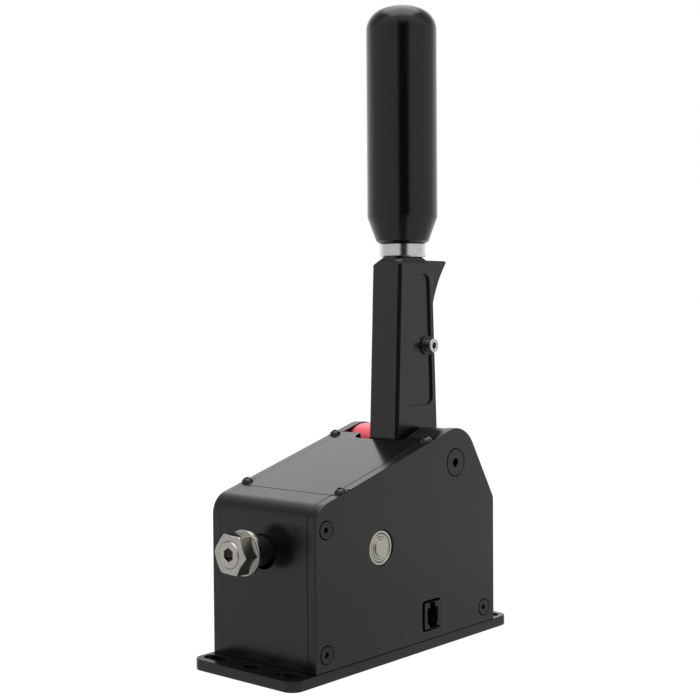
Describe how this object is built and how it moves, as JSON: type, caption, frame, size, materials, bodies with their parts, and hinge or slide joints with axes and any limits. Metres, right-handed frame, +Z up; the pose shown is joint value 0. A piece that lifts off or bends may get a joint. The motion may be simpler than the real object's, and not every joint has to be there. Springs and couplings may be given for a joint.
{
  "type": "sim racing hand lever",
  "caption": "Sim racing shifter or handbrake: tall grip on a spring-loaded lever in a plated metal housing, with preload nut, lock trigger and slotted base plate",
  "frame": {"origin": "middle of the base plate's underside", "axes": "+Z up; +X from the preload nut to the back, the way the grip is pulled; +Y to the left of that way"},
  "size_m": [0.1689, 0.0646, 0.3133],
  "materials": {
    "black_aluminium": "satin black anodised",
    "grip_black": "smooth satin black",
    "polished_collar": "polished",
    "red_aluminium": "glossy red anodised",
    "black_steel": "black oxide",
    "bright_steel": "turned, bright zinc",
    "spring_steel": "oiled spring wire",
    "board_green": "solder mask",
    "black_plastic": "moulded",
    "brass_standoff": "turned"
  },
  "bodies": {
    "housing": {"base_plate": "black_aluminium", "right_side_plate": "black_aluminium", "left_side_plate": "black_aluminium", "front_block": "black_aluminium", "rear_block": "black_aluminium", "top_cover": "black_aluminium", "cover_screws": "black_steel", "side_screws": "black_steel", "base_screws": "black_steel", "pivot_screws": "black_steel", "pivot_shaft": "bright_steel", "left_pivot_spacer": "red_aluminium", "right_pivot_spacer": "black_aluminium", "lock_ring": "bright_steel", "lever_bearing_inner_rings": "bright_steel", "trunnion_bearing_outer_rings": "bright_steel", "cable_socket": "black_plastic", "circuit_board": "board_green", "board_standoffs": "brass_standoff", "board_screws": "bright_steel", "controller_chip": "black_plastic", "sensor_board": "board_green", "sensor_board_screws": "bright_steel", "hall_sensor": "black_plastic"},
    "lever": {"lever_stem": "black_aluminium", "lever_bearing_outer_rings": "bright_steel", "handle_collar": "polished_collar", "handle_stud": "bright_steel", "handle_grip": "grip_black", "clevis_pin": "bright_steel", "clevis_pin_clips": "bright_steel", "sensor_magnet": "bright_steel", "trigger_screw": "bright_steel", "trigger_spring": "spring_steel"},
    "trigger": {"lock_trigger": "black_aluminium"},
    "lock": {"lock_rod": "bright_steel"},
    "trunnion": {"trunnion": "bright_steel", "trunnion_bearing_inner_rings": "bright_steel", "preload_sleeve": "black_steel", "main_spring": "spring_steel"},
    "rod": {"push_rod": "bright_steel", "spring_seat": "bright_steel"},
    "nut": {"preload_nut": "bright_steel"}
  },
  "joints": [
    {"name": "lever_pull", "type": "hinge", "parent": "housing", "child": "lever", "pos_m": [0.0356, 0, 0.0877], "axis": [0, 1, 0], "range_deg": [0, 16], "stiffness_Nm_per_rad": 40},
    {"name": "trigger_press", "type": "hinge", "parent": "lever", "child": "trigger", "pos_m": [0.0435, 0, 0.1442], "axis": [0, -1, 0], "range_deg": [0, 7], "stiffness_Nm_per_rad": 0.6, "deforming": ["trigger_spring"]},
    {"name": "lock_rod_slide", "type": "slide", "parent": "lever", "child": "lock", "axis": [0, 0, -1], "range_m": [0, 0.00104]},
    {"name": "trunnion_tilt", "type": "hinge", "parent": "housing", "child": "trunnion", "pos_m": [-0.0216, 0, 0.054], "axis": [0, -1, 0], "range_deg": [0, 1.23]},
    {"name": "rod_slide", "type": "slide", "parent": "trunnion", "child": "rod", "axis": [-0.9991, 0, 0.0423], "range_m": [0, 0.00994], "deforming": ["main_spring"]},
    {"name": "nut_turn", "type": "hinge", "parent": "rod", "child": "nut", "pos_m": [-0.0216, 0, 0.054], "axis": [-0.9991, 0, 0.0423], "continuous": true}
  ],
  "couplings": [
    {"joint": "lock_rod_slide", "follows": "trigger_press", "m_per_rad": 0.0085},
    {"joint": "trunnion_tilt", "follows": "lever_pull", "ratio": 0.076404},
    {"joint": "rod_slide", "follows": "lever_pull", "m_per_rad": 0.035562}
  ]
}
